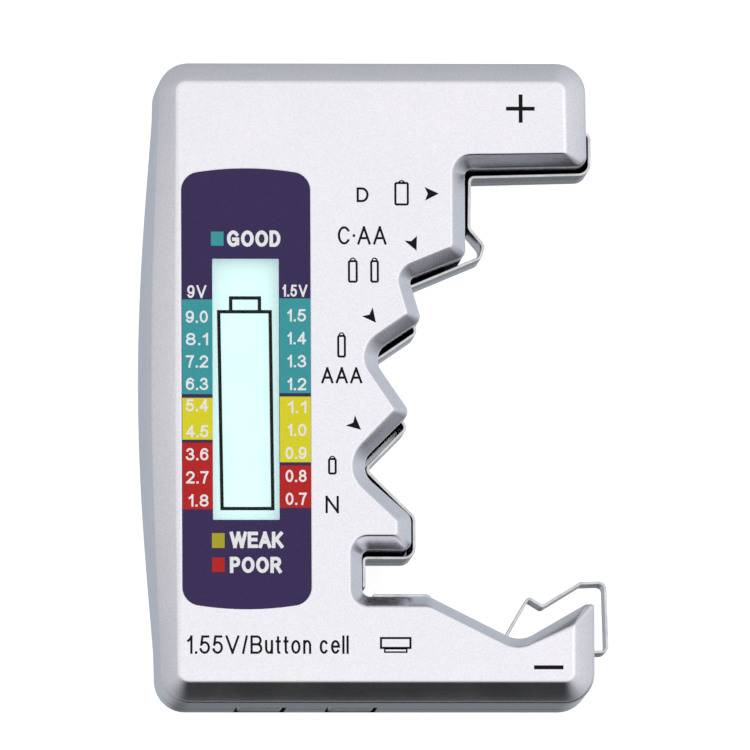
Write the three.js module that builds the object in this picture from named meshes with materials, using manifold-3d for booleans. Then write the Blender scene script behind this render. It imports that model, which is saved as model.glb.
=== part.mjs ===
// Pocket battery tester, in millimetres, lying on its back.
// X runs across the tester, Y from the lower arm to the upper arm, Z from its back to its face.
// The design frame starts at the lower left corner of the side walls, on the back face. The
// finished group is shifted so that the origin is the middle of its footprint.
import * as THREE from 'three';
import { mergeVertices } from 'three/addons/utils/BufferGeometryUtils.js';
import Module from 'manifold-3d';

const wasm = await Module();
wasm.setup();

// Driving dimensions
const thickness = 22;
const height = 95;
const partingZ = 8.5;
const bevelDrop = 2.6;
const rearBevel = 2;
const rearBevelShare = 0.7;
const frontWall = 2;
const rearWall = 2;
const gripBulge = 2.7;
const cornerSteps = 5;
const sharp = 0.05;
const gripSteps = 14;

const stripThickness = 0.45;
const stripBack = 3.5;
const stripFront = 15;
const springBack = 6.1;
const springFront = 13;
const springTravel = 2.5;
const slotGap = 0.25;

const screwHeadRadius = 1.9;
const screwRadius = 0.85;
const postRadius = 2.3;

const labelRecess = 0.25;
const labelThickness = 0.2;
const boardTop = 14;
const boardThickness = 1.6;

// Corners of the outline, anticlockwise from the lower left, as [x, y, corner radius]: of the side
// wall, of the flat face inside the bevel, and of the cavity where that differs from the face.
const corners = [
  { wall: [0, 0, 4.5], face: [2.65, 3, 1.6], cavity: [2, 2] },
  { wall: [64.35, 0, 4.5], face: [61.2, 3, 1.5], cavity: [62.3, 2] },
  { wall: [64.35, 14.8, 0.5], face: [61.25, 11.45, 0.1], cavity: [62.3, 12.2] },
  { wall: [63.05, 14.75, 0.5], face: [60.95, 11.27, 0.1], cavity: [62, 12] },
  { wall: [53.35, 9.1, 4], face: [52.75, 7.65, 4.5], cavity: [53.4, 7] },
  { wall: [39.95, 15.85, 2.5], face: [39.8, 14.13, 3] },
  { wall: [30, 15.85, 1.2], face: [28.15, 14.13, 2.6] },
  { wall: [30, 22.85, 1.2], face: [28.15, 24.7, 2.5] },
  { wall: [37.1, 22.75, 1.3], face: [35.1, 24.7, 0.6] },
  { wall: [37.1, 27.7, 2], face: [35.07, 26.9, 0.6] },
  { wall: [29.1, 35, 3], face: [26.5, 34.93, 4.6] },
  { wall: [37.25, 43.1, 1.4], face: [34.73, 43.39, 0.5] },
  { wall: [31.35, 51.7, 2.8], face: [28.8, 52.2, 3.8] },
  { wall: [38.95, 56.8, 1.4], face: [36.72, 57.65, 0.5] },
  { wall: [37.1, 63, 1], face: [34.85, 64.07, 2.6] },
  { wall: [45.45, 66.3, 1.4], face: [43.42, 67.59, 1] },
  { wall: [45.45, 79.3, 1], face: [43.42, 81.17, 2.7] },
  { wall: [63.5, 79.65, 1.6], face: [60.3, 81.4, 0.4], cavity: [61.6, 81.4] },
  { wall: [63.35, height, 4.5], face: [60.1, 92, 1.5], cavity: [61.4, 93] },
  { wall: [0, height, 4.5], face: [2.65, 92, 1.3], cavity: [2, 93] },
];

// Centre lines of the bent strips, as [x, y, bend radius]
const positivePath = [
  [59.5, 85, 0],
  [64.15, 85, 0.8],
  [64.15, 78.95, 1.6],
  [46.4, 78.5, 0.7],
  [46.25, 70.9, 1.2],
  [48.45, 68.3, 1.2],
  [47.9, 66.5, 1],
  [36.3, 61.67, 0.8],
  [38.35, 55.35, 0.8],
  [30.96, 50.3, 0.8],
  [36.85, 41.2, 0.8],
  [30.75, 35.05, 0.9],
  [37.95, 27.9, 1.2],
  [37.95, 21.95, 1.5],
  [30.5, 21.95, 0.5],
  [30.5, 17.6, 0],
];
const negativePath = [
  [31.9, 16.35, 0],
  [40.3, 16.35, 0.8],
  [41.2, 9.6, 1],
  [47.6, 6.4, 0],
];
const springPath = [
  [49.9, 7.5, 0],
  [54.95, 16.2, 0.45],
  [57.05, 14.9, 0.45],
  [62.7, 18.35, 0.6],
  [66.45, 18.45, 1],
  [66.75, 8.15, 0.9],
  [60.6, 8.15, 0],
];

const finishes = {
  silverPaint: { color: 0xc9ccd2, roughness: 0.4, metalness: 0.6 },
  nickel: { color: 0xb9b6b0, roughness: 0.3, metalness: 1 },
  steel: { color: 0x9a9ca0, roughness: 0.4, metalness: 1 },
  label: { color: 0x3d2f5a, roughness: 0.5, metalness: 0 },
  paper: { color: 0xd8d8da, roughness: 0.7, metalness: 0 },
  clear: { color: 0xe8f4f4, roughness: 0.1, metalness: 0 },
  glass: { color: 0xdff5f5, roughness: 0.1, metalness: 0 },
  reflector: { color: 0xc8d8d4, roughness: 0.6, metalness: 0 },
  frame: { color: 0xe2e2de, roughness: 0.5, metalness: 0 },
  silicone: { color: 0xd6a0a0, roughness: 0.7, metalness: 0 },
  board: { color: 0x1f5c34, roughness: 0.5, metalness: 0 },
  resin: { color: 0x14161a, roughness: 0.4, metalness: 0 },
  resistor: { color: 0xc8b084, roughness: 0.5, metalness: 0 },
  red: { color: 0xb02020, roughness: 0.5, metalness: 0 },
  black: { color: 0x202020, roughness: 0.5, metalness: 0 },
  blue: { color: 0x2a4a8a, roughness: 0.5, metalness: 0 },
};

const group = new THREE.Group();

// Geometry helpers

// A manifold solid from a closed three.js geometry.
function solid(geometry) {
  const bare = geometry.index ? geometry.clone() : geometry;
  bare.deleteAttribute('normal');
  bare.deleteAttribute('uv');
  const merged = mergeVertices(bare, 1e-5);
  return new wasm.Manifold(new wasm.Mesh({
    numProp: 3,
    vertProperties: Float32Array.from(merged.attributes.position.array),
    triVerts: Uint32Array.from(merged.index.array),
  }));
}

// A three.js geometry from a manifold solid.
function geometryOf(body) {
  const mesh = body.getMesh();
  const geometry = new THREE.BufferGeometry();
  geometry.setAttribute('position', new THREE.BufferAttribute(mesh.vertProperties, 3));
  geometry.setIndex(new THREE.BufferAttribute(mesh.triVerts, 1));
  geometry.computeVertexNormals();
  return geometry;
}

// Points of the arc that rounds one corner, between its neighbours, always steps + 1 of them.
function cornerArc(before, [x, y, radius], after, steps) {
  const corner = new THREE.Vector2(x, y);
  const back = new THREE.Vector2(before[0] - x, before[1] - y).normalize();
  const ahead = new THREE.Vector2(after[0] - x, after[1] - y).normalize();
  const half = Math.acos(THREE.MathUtils.clamp(back.dot(ahead), -1, 1)) / 2;
  const reach = radius / Math.tan(half);
  const middle = back.clone().add(ahead).normalize().multiplyScalar(radius / Math.sin(half)).add(corner);
  const from = back.multiplyScalar(reach).add(corner).sub(middle);
  const to = ahead.multiplyScalar(reach).add(corner).sub(middle);
  const sweep = Math.atan2(from.cross(to), from.dot(to));
  const points = [];
  for (let i = 0; i <= steps; i += 1) {
    points.push(from.clone().rotateAround(new THREE.Vector2(), (sweep * i) / steps).add(middle));
  }
  return points;
}

function roundedLoop(list, steps) {
  const count = list.length;
  return list.flatMap((corner, i) =>
    cornerArc(list[(i + count - 1) % count], corner, list[(i + 1) % count], steps));
}

function roundedPath(list, steps) {
  const inner = list.slice(1, -1).flatMap((corner, i) => cornerArc(list[i], corner, list[i + 2], steps));
  const first = new THREE.Vector2(list[0][0], list[0][1]);
  const last = new THREE.Vector2(list.at(-1)[0], list.at(-1)[1]);
  return [first, ...inner, last];
}

// A closed solid through level loops of equal length, each { z, points }, from the lowest up.
function loft(levels) {
  const count = levels[0].points.length;
  const positions = levels.flatMap(({ z, points }) => points.flatMap((p) => [p.x, p.y, z]));
  const index = [];
  for (let level = 0; level + 1 < levels.length; level += 1) {
    for (let i = 0; i < count; i += 1) {
      const a = level * count + i;
      const b = level * count + ((i + 1) % count);
      index.push(a, b, b + count, a, b + count, a + count);
    }
  }
  const top = (levels.length - 1) * count;
  for (const [a, b, c] of THREE.ShapeUtils.triangulateShape(levels[0].points, [])) {
    index.push(c, b, a);
  }
  for (const [a, b, c] of THREE.ShapeUtils.triangulateShape(levels.at(-1).points, [])) {
    index.push(top + a, top + b, top + c);
  }
  const geometry = new THREE.BufferGeometry();
  geometry.setAttribute('position', new THREE.Float32BufferAttribute(positions, 3));
  geometry.setIndex(index);
  return geometry;
}

function prism(points, low, high) {
  const geometry = new THREE.ExtrudeGeometry(new THREE.Shape(points), {
    depth: high - low,
    bevelEnabled: false,
  });
  return geometry.translate(0, 0, low);
}

function box(x0, x1, y0, y1, z0, z1) {
  const geometry = new THREE.BoxGeometry(x1 - x0, y1 - y0, z1 - z0);
  return geometry.translate((x0 + x1) / 2, (y0 + y1) / 2, (z0 + z1) / 2);
}

function roundedBox(x0, x1, y0, y1, z0, z1, radius) {
  const plan = [[x0, y0, radius], [x1, y0, radius], [x1, y1, radius], [x0, y1, radius]];
  return prism(roundedLoop(plan, 3), z0, z1);
}

// A solid of revolution about a line parallel to Z; profile holds [radius, z] from bottom to top.
function turned(x, y, profile, sides) {
  const geometry = new THREE.LatheGeometry(profile.map(([r, z]) => new THREE.Vector2(r, z)), sides);
  return geometry.rotateX(Math.PI / 2).translate(x, y, 0);
}

function pillar(x, y, radius, low, high, sides = 20) {
  return turned(x, y, [[0, low], [radius, low], [radius, high], [0, high]], sides);
}

// A flat strip on edge, bent along a centre line in the XY plane.
function ribbon(path, wide, low, high, steps = 4) {
  const line = roundedPath(path, steps);
  const sides = [[], []];
  line.forEach((point, i) => {
    const ahead = line[Math.min(i + 1, line.length - 1)];
    const behind = line[Math.max(i - 1, 0)];
    const into = new THREE.Vector2().subVectors(point, behind).normalize();
    const out = new THREE.Vector2().subVectors(ahead, point).normalize();
    const along = into.add(out).normalize();
    const straight = i > 0 && i < line.length - 1 ? out.dot(along) : 1;
    const normal = new THREE.Vector2(-along.y, along.x).multiplyScalar(wide / 2 / straight);
    sides[0].push(point.clone().add(normal));
    sides[1].unshift(point.clone().sub(normal));
  });
  return prism([...sides[0], ...sides[1]], low, high);
}

// A round lead along a smooth curve through the given points.
function lead(points, radius) {
  const section = new THREE.Shape();
  for (let i = 0; i < 8; i += 1) {
    const angle = (i / 8) * 2 * Math.PI;
    const corner = [radius * Math.cos(angle), radius * Math.sin(angle)];
    if (i === 0) section.moveTo(...corner);
    else section.lineTo(...corner);
  }
  section.closePath();
  const path = new THREE.CatmullRomCurve3(points.map((p) => new THREE.Vector3(...p)), false, 'centripetal');
  const steps = Math.ceil(path.getLength() / (radius * 5));
  return new THREE.ExtrudeGeometry(section, { steps, extrudePath: path, bevelEnabled: false });
}

function add(name, geometry, finish) {
  const mesh = new THREE.Mesh(geometry, new THREE.MeshStandardMaterial(finishes[finish]));
  mesh.name = name;
  group.add(mesh);
}

function cut(body, cutters) {
  return cutters.reduce((left, cutter) => left.subtract(solid(cutter)), body);
}

function join(parts) {
  return parts.map(solid).reduce((whole, part) => whole.add(part));
}

// Casing

// The outline part way from the wall (share 0) to the face (share 1). Its left side swells by the
// given amount at mid height, fading out towards both ends and round the corners.
function outline(share, swell) {
  const list = corners.map(({ wall, face }) =>
    wall.map((value, i) => THREE.MathUtils.lerp(value, face[i], share)));
  const loop = roundedLoop(list, cornerSteps);
  const last = loop.at(-1);
  for (let i = 1; i < gripSteps; i += 1) {
    loop.push(last.clone().lerp(loop[0], i / gripSteps));
  }
  const fade = corners[0].wall[2];
  return loop.map((point) => {
    const t = (2 * point.y) / height - 1;
    const near = THREE.MathUtils.clamp(1 - point.x / fade, 0, 1);
    return new THREE.Vector2(point.x - swell * near * (1 - t * t) ** 1.5, point.y);
  });
}

function cavity(low, high) {
  const list = corners.map(({ face, cavity: own }) => [...(own ?? face).slice(0, 2), 0.4]);
  list[2][2] = sharp;
  list[3][2] = sharp;
  return prism(roundedLoop(list, 2), low, high);
}

const casePosts = [[6.4, 7], [6.4, 88], [54.2, 87.6], [57.4, 4.9]];
const boardPosts = [[5.6, 19.5], [22.6, 19.5], [5.6, 76.5], [22.6, 76.5]];

const windowCut = { x0: 7.1, x1: 18.45, y0: 26.25, y1: 66.4 };
const windowView = { x0: 7.86, x1: 17.7, y0: 26.98, y1: 65.68 };
const labelSide = { left: 3.3, right: 22.4, low: 14.75, high: 78.1, crown: 1 };

// The label's outline: straight sides, rounded corners and slightly crowned ends.
function labelOutline(grow) {
  const { left, right, low, high, crown } = labelSide;
  const middle = (left + right) / 2;
  const half = (right - left) / 2;
  const radius = 2.2;
  const list = [
    [left - grow, low - grow, radius],
    [right + grow, low - grow, radius],
    [right + grow, high + grow, radius],
    [left - grow, high + grow, radius],
  ];
  const loop = roundedLoop(list, 5);
  const ends = (y, way) => [-0.55, -0.2, 0.2, 0.55].map((t) =>
    new THREE.Vector2(middle - way * t * half, y));
  const points = [
    ...loop.slice(0, 6),
    ...ends(low - grow, -1),
    ...loop.slice(6, 18),
    ...ends(high + grow, 1),
    ...loop.slice(18),
  ];
  return points.map((point) => {
    const t = (point.x - middle) / (half + grow);
    const end = Math.abs(point.y - (low + high) / 2) > (high - low) / 2 - radius ? 1 : 0;
    const way = Math.sign(point.y - (low + high) / 2);
    return new THREE.Vector2(point.x, point.y + end * way * crown * (1 - t * t));
  });
}

function stripSlot(path, low, high) {
  return ribbon(path, stripThickness + 2 * slotGap, low - slotGap, high + slotGap);
}

// The spring passes through the sloping wall and the end wall, with room for its travel.
const springWindows = [
  box(49.3, 53.4, 5, 12.6, springBack - slotGap, springFront + slotGap),
  box(60, 66, 8.15 - springTravel - 0.6, 8.75, springBack - slotGap, springFront + slotGap),
];

const contactWidth = 7;
const contactCentres = { left: 15.4, right: 28.9 };
const contactBack = 3;
const contactFront = 11.4;
const contactSheet = 0.4;

function contactPath(centre) {
  const half = (contactWidth - contactSheet) / 2;
  return [
    [centre - half, 5.5, 0],
    [centre - half, 0.25, 0.5],
    [centre + half, 0.25, 0.5],
    [centre + half, 5.5, 0],
  ];
}

function contactSlots(centre) {
  const half = contactWidth / 2 + slotGap;
  return [
    box(centre - half, centre + half, -1, 0.75, contactBack - slotGap, contactFront + slotGap),
    ribbon(contactPath(centre), contactSheet + 2 * slotGap, contactBack - slotGap, contactFront + slotGap),
  ];
}

const stripSlots = [
  stripSlot(positivePath, stripBack, stripFront),
  stripSlot(negativePath, stripBack, stripFront),
  ...springWindows,
  ...contactSlots(contactCentres.left),
  ...contactSlots(contactCentres.right),
];

function makeFrontShell() {
  const shoulder = thickness - bevelDrop;
  const levels = [
    { z: partingZ, points: outline(0, gripBulge) },
    { z: 13, points: outline(0, 0.95 * gripBulge) },
    { z: 17, points: outline(0, 0.78 * gripBulge) },
    { z: shoulder, points: outline(0, 0.54 * gripBulge) },
    { z: thickness, points: outline(1, 0) },
  ];
  const skin = solid(loft(levels)).subtract(solid(cavity(partingZ - 1, thickness - frontWall)));
  const posts = [
    ...casePosts.map(([x, y]) => pillar(x, y, postRadius, partingZ, thickness - frontWall + 0.5)),
    ...boardPosts.map(([x, y]) => pillar(x, y, 1.8, boardTop, thickness - frontWall + 0.5)),
  ];
  const ribs = [
    box(1.5, 6.4, 6.6, 7.4, 15, thickness - 1.8),
    box(1.5, 6.4, 87.6, 88.4, 15, thickness - 1.8),
    box(53.8, 54.6, 87.6, 93.5, 15, thickness - 1.8),
    box(57, 57.8, 1.5, 4.9, 15, thickness - 1.8),
  ];
  const solidShell = skin.add(join([...posts, ...ribs]));
  const holes = [
    ...casePosts.map(([x, y]) => pillar(x, y, screwRadius + 0.05, partingZ - 1, 17, 14)),
    ...boardPosts.map(([x, y]) => pillar(x, y, 0.75, boardTop - 1, 18, 12)),
  ];
  const windows = [
    prism(labelOutline(0.1), thickness - labelRecess, thickness + 1),
    roundedBox(windowCut.x0, windowCut.x1, windowCut.y0, windowCut.y1, 15, thickness + 1, 0.5),
  ];
  return geometryOf(cut(solidShell, [...holes, ...windows, ...stripSlots]));
}

// Footings of the rear shell, which the strips stand on. They reach from inside the wall to the strips'
// centre lines, and leave out the loop that the long strip makes beside the bay.
const footingBack = 1.2;
const longStripCorners = corners.slice(7, 18);

function footings() {
  const intoWall = 0.9;
  const insideWall = longStripCorners.map(({ wall, face }) => [
    THREE.MathUtils.lerp(wall[0], face[0], intoWall),
    THREE.MathUtils.lerp(wall[1], face[1], intoWall),
    sharp,
  ]);
  const long = [
    [62.5, 85, sharp],
    ...positivePath.slice(1, 4),
    [46.3, 71, 0.5],
    [45, 69.8, 0.5],
    [44.9, 66.9, 1],
    [43.3, 64.58, 0.5],
    ...positivePath.slice(7, -1),
    [30.5, 17.6, sharp],
    [29.4, 17.6, sharp],
    ...insideWall,
    [62, 82, sharp],
  ];
  const short = [[31.9, 14.8, sharp], [40.6, 14.8, sharp], [40.3, 16.35, 0.8], [31.9, 16.35, sharp]];
  return [long, short].map((list) => prism(roundedLoop(list, 4), footingBack, stripBack - slotGap));
}

const rearLabel = { x0: 8, x1: 25.6, y0: 26, y1: 70 };

function makeRearShell() {
  const levels = [
    { z: 0, points: outline(rearBevelShare, 0.3 * gripBulge) },
    { z: rearBevel, points: outline(0, 0.7 * gripBulge) },
    { z: 5, points: outline(0, 0.92 * gripBulge) },
    { z: partingZ, points: outline(0, gripBulge) },
  ];
  const skin = solid(loft(levels)).subtract(solid(cavity(rearWall, partingZ + 1)));
  const bosses = casePosts.map(([x, y]) => pillar(x, y, postRadius + 0.3, rearWall - 0.5, partingZ));
  const holes = casePosts.flatMap(([x, y]) => [
    pillar(x, y, screwRadius + 0.3, -1, partingZ + 1, 14),
    pillar(x, y, screwHeadRadius + 0.2, -1, 1.8),
  ]);
  const recess = roundedBox(rearLabel.x0 - 0.2, rearLabel.x1 + 0.2, rearLabel.y0 - 0.2,
    rearLabel.y1 + 0.2, -1, labelRecess, 1);
  return geometryOf(cut(skin.add(join([...bosses, ...footings()])), [...holes, recess, ...stripSlots]));
}

add('front_shell', makeFrontShell(), 'silverPaint');
add('rear_shell', makeRearShell(), 'silverPaint');

// Label, window and display, stacked from the face inwards

const labelFloor = thickness - labelRecess;
const view = roundedBox(windowView.x0, windowView.x1, windowView.y0, windowView.y1, 20, 23, 0.15);
const sheet = solid(prism(labelOutline(0), labelFloor, labelFloor + labelThickness));
add('scale_label', geometryOf(sheet.subtract(solid(view))), 'label');

add('display_window', roundedBox(windowCut.x0 + 0.1, windowCut.x1 - 0.1, windowCut.y0 + 0.1,
  windowCut.y1 - 0.1, 20.25, labelFloor, 0.4), 'clear');

const glass = { x0: 6.6, x1: 18.95, y0: 25.9, y1: 66.9 };
const glassTop = 19.9;
const glassThickness = 0.9;
const ledge = 2.6;
add('lcd_front_glass', box(glass.x0, glass.x1, glass.y0, glass.y1, glassTop - glassThickness, glassTop),
  'glass');
const rearGlassTop = glassTop - glassThickness;
const rearGlassBack = rearGlassTop - glassThickness;
add('lcd_rear_glass', box(glass.x0, glass.x1, glass.y0 + ledge, glass.y1, rearGlassBack, rearGlassTop),
  'glass');
add('lcd_reflector', box(glass.x0 + 0.3, glass.x1 - 0.3, glass.y0 + ledge + 0.3, glass.y1 - 0.3,
  rearGlassBack - 0.2, rearGlassBack), 'reflector');
add('zebra_connector', box(glass.x0 + 0.4, glass.x1 - 0.4, glass.y0 + 0.3, glass.y0 + ledge - 0.3,
  boardTop, rearGlassTop), 'silicone');

// The frame stands on the board round the glass, with a bar under it on each long side.
function makeDisplayFrame() {
  const gap = 0.1;
  const wall = 1;
  const inner = { x0: glass.x0 - gap, x1: glass.x1 + gap, y0: glass.y0 - gap, y1: glass.y1 + gap };
  const outer = box(inner.x0 - wall, inner.x1 + wall, inner.y0 - wall, inner.y1 + wall, boardTop, glassTop);
  const opening = box(inner.x0, inner.x1, inner.y0, inner.y1, boardTop - 1, glassTop + 1);
  const barTop = rearGlassBack - 0.2;
  const bars = [
    box(inner.x0 - 0.5, inner.x0 + 1.2, inner.y0 + ledge + 1, inner.y1 + 0.5, boardTop, barTop),
    box(inner.x1 - 1.2, inner.x1 + 0.5, inner.y0 + ledge + 1, inner.y1 + 0.5, boardTop, barTop),
  ];
  return geometryOf(solid(outer).subtract(solid(opening)).add(join(bars)));
}
add('lcd_frame', makeDisplayFrame(), 'frame');

// Circuit board, its parts on the side that faces the back, and its screws

const boardEdge = { x0: 3.2, x1: 25.2, y0: 16, y1: 80 };
const boardBack = boardTop - boardThickness;

function makeBoard() {
  const { x0, x1, y0, y1 } = boardEdge;
  const blank = solid(roundedBox(x0, x1, y0, y1, boardBack, boardTop, 1));
  const holes = boardPosts.map(([x, y]) => pillar(x, y, 1.1, boardBack - 1, boardTop + 1, 12));
  return geometryOf(cut(blank, holes));
}
add('circuit_board', makeBoard(), 'board');

// A dome of resin over the bonded chip: a cap of a sphere, seated on the board.
function makeBlob(x, y, radius, rise) {
  const profile = [[0, boardBack - rise]];
  for (let i = 1; i <= 5; i += 1) {
    const angle = (i / 5) * (Math.PI / 2);
    profile.push([radius * Math.sin(angle), boardBack - rise * Math.cos(angle)]);
  }
  profile.push([0, boardBack]);
  return turned(x, y, profile, 20);
}
add('chip_blob', makeBlob(14.2, 47, 4.6, 1.4), 'resin');

// An axial part lying on the board: a barrel along Y with a bent lead at each end.
function makeAxial(x, y, length, radius) {
  const centreZ = boardBack - radius - 0.2;
  const barrel = new THREE.CylinderGeometry(radius, radius, length, 14).translate(x, y, centreZ);
  const reach = length / 2 + 1.6;
  const wire = 0.3;
  const parts = [barrel, new THREE.CylinderGeometry(wire, wire, 2 * reach, 8).translate(x, y, centreZ)];
  for (const way of [-1, 1]) {
    const legY = y + way * reach;
    parts.push(box(x - wire, x + wire, legY - wire, legY + wire, centreZ - wire, boardBack));
  }
  return geometryOf(join(parts));
}
add('load_resistor_1v5', makeAxial(8, 64, 9, 1.6), 'resistor');
add('load_resistor_9v', makeAxial(14, 64, 9, 1.6), 'resistor');
add('divider_resistor', makeAxial(20, 64, 6, 1), 'blue');
add('reverse_diode', makeAxial(20, 32, 4.6, 1.1), 'resin');

add('capacitor', turned(8.5, 32, [[0, 6.6], [2.3, 6.6], [2.5, 6.8], [2.5, boardBack], [0, boardBack]], 18),
  'blue');

function makeTrimmer(x, y) {
  const base = solid(box(x - 2.4, x + 2.4, y - 2.4, y + 2.4, boardBack - 2, boardBack));
  const rotor = solid(pillar(x, y, 1.7, boardBack - 2.5, boardBack - 1.5, 16));
  const slot = solid(box(x - 1.3, x + 1.3, y - 0.25, y + 0.25, boardBack - 3, boardBack - 2.1));
  return geometryOf(base.add(rotor).subtract(slot));
}
add('trimmer', makeTrimmer(14.2, 36.5), 'blue');

// A self-tapping screw with its head at the back and a cross recess in it.
function makeScrew(x, y, headBack, headRadius, headHeight, radius, tip) {
  const neck = headBack + headHeight;
  const profile = [
    [0, headBack],
    [headRadius * 0.7, headBack],
    [headRadius, headBack + headHeight * 0.45],
    [headRadius, neck],
    [radius, neck],
    [radius, tip - 1],
    [0.15, tip],
    [0, tip],
  ];
  const arm = headRadius * 0.55;
  const slot = headRadius * 0.12;
  const depth = headHeight * 0.6;
  return geometryOf(cut(solid(turned(x, y, profile, 18)), [
    box(x - arm, x + arm, y - slot, y + slot, headBack - 1, headBack + depth),
    box(x - slot, x + slot, y - arm, y + arm, headBack - 1, headBack + depth),
  ]));
}
casePosts.forEach(([x, y], i) => {
  add(`case_screw_${i + 1}`, makeScrew(x, y, 0.4, screwHeadRadius, 1.4, screwRadius, 16), 'steel');
});
boardPosts.forEach(([x, y], i) => {
  add(`board_screw_${i + 1}`, makeScrew(x, y, boardBack - 1.2, 1.6, 1.2, 0.7, 17.5), 'steel');
});

// Contacts

add('positive_strip', ribbon(positivePath, stripThickness, stripBack, stripFront), 'nickel');
add('negative_strip', ribbon(negativePath, stripThickness, stripBack, stripFront), 'nickel');
add('negative_spring', ribbon(springPath, 0.43, springBack, springFront), 'nickel');
for (const [side, centre] of Object.entries(contactCentres)) {
  add(`contact_9v_${side}`, ribbon(contactPath(centre), contactSheet, contactBack, contactFront), 'nickel');
}

// Leads inside the case, each from the board's back to its contact

const leadRadius = 0.55;
const solderGap = 0.3;
const padZ = boardBack - solderGap;
add('lead_positive', lead([
  [18, 78.6, padZ],
  [18.4, 79.4, 10],
  [26, 86.4, 8],
  [40, 90, 7.5],
  [50, 91.6, 8],
  [58.4, 90.3, 8.6],
  [59.6, 86.2, 8.8],
], leadRadius), 'red');
add('lead_negative', lead([
  [23.9, 27, padZ],
  [24.5, 26, 10],
  [25.6, 17, 8],
  [30, 10.4, 7.6],
  [36, 8.6, 8],
  [40.2, 9.4, 8.6],
], leadRadius), 'black');
add('lead_9v_left', lead([
  [9, 17.6, padZ],
  [8.8, 17, 10],
  [9, 12, 8],
  [10.2, 7.4, 7.4],
  [11, 5, 7.2],
], leadRadius), 'red');
add('lead_9v_right', lead([
  [16, 17.6, padZ],
  [16.2, 17, 10],
  [18, 13, 8],
  [22, 8.4, 7.4],
  [24.6, 5, 7.2],
], leadRadius), 'black');

add('rear_label', roundedBox(rearLabel.x0, rearLabel.x1, rearLabel.y0, rearLabel.y1,
  labelRecess - labelThickness, labelRecess, 0.9), 'paper');

// The origin goes to the middle of the footprint, on the surface that the tester lies on.
const bounds = new THREE.Box3().setFromObject(group);
const middle = bounds.getCenter(new THREE.Vector3());
group.position.set(-middle.x, -middle.y, -bounds.min.z);
group.updateMatrixWorld(true);

const tester = new THREE.Group();
tester.add(group);

export default tester;
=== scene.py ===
"""A pocket battery tester lying on its back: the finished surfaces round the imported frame.

The two mouldings, the contacts, the label and its printing are made here. The glass, the board, its parts,
the leads and the screws are the frame's own nodes with finished materials.

Sizes are millimetres in the design frame: x from the left side wall, y from the bottom edge and z from
the back face. to_row() takes them to the row frame, in metres.
"""

import bmesh
import bpy
import numpy as np
from mathutils import Matrix, Vector


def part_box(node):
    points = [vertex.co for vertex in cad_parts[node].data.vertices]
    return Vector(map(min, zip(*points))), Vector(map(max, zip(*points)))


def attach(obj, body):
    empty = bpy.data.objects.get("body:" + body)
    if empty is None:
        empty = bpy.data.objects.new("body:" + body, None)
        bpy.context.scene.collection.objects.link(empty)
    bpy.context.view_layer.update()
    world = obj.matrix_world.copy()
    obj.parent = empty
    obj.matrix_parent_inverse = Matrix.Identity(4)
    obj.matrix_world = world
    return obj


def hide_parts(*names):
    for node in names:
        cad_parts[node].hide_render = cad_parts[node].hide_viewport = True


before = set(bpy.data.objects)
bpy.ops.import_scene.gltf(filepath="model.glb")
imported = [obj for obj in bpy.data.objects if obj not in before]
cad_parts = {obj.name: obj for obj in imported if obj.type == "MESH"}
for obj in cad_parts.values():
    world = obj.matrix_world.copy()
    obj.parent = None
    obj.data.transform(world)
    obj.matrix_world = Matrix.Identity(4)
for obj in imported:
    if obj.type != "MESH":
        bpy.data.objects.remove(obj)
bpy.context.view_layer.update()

MM = 0.001

# The casing's driving sizes

THICKNESS = 22
HEIGHT = 95
PARTING = 8.5
PARTING_GROOVE = 0.2
GROOVE_SHARE = 0.08
GRIP_BULGE = 2.7
WALL = 2
BEVEL_DROP = 2.6
REAR_BEVEL = 2
REAR_BEVEL_SHARE = 0.7

shell_low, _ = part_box("front_shell")
ORIGIN = np.array([shell_low.x / MM + GRIP_BULGE, shell_low.y / MM, 0.0])

# Corners of the case's outline, anticlockwise from the lower left: the side wall's x, y and radius, and
# the flat face's x, y and radius. Corners 7 to 17 are the stepped side that the long strip runs along.
CORNERS = np.array([
    (0, 0, 4.5, 2.65, 3, 1.6),
    (64.35, 0, 4.5, 61.2, 3, 1.5),
    (64.35, 14.8, 0.5, 61.25, 11.45, 0.1),
    (63.05, 14.75, 0.5, 60.95, 11.27, 0.1),
    (53.35, 9.1, 4, 52.75, 7.65, 4.5),
    (39.95, 15.85, 2.5, 39.8, 14.13, 3),
    (30, 15.85, 1.2, 28.15, 14.13, 2.6),
    (30, 22.85, 1.2, 28.15, 24.7, 2.5),
    (37.3, 22.75, 1.3, 35.1, 24.7, 0.6),
    (37.3, 27.7, 2, 35.07, 26.9, 0.6),
    (29.1, 35, 3, 26.5, 34.93, 4.6),
    (37.25, 43.1, 1.4, 34.73, 43.39, 0.5),
    (31.35, 51.7, 2.8, 28.8, 52.2, 3.8),
    (38.95, 56.8, 1.4, 36.72, 57.65, 0.5),
    (37.1, 63, 1, 34.85, 64.07, 2.6),
    (45.45, 66.3, 1.4, 43.42, 67.59, 1),
    (45.45, 79.3, 1, 43.42, 81.17, 2.7),
    (63.5, 79.65, 1.6, 60.3, 81.4, 0.4),
    (63.35, HEIGHT, 4.5, 60.1, 92, 1.5),
    (0, HEIGHT, 4.5, 2.65, 92, 1.3),
])
# Where the cavity's corners differ from the face's
CAVITY_CORNERS = {0: (2, 2), 1: (62.3, 2), 2: (62.3, 12.2), 3: (62, 12), 4: (53.4, 7), 17: (61.6, 81.4),
                  18: (61.4, 93), 19: (2, 93)}

STEPPED_SIDE = slice(7, 18)

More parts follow.
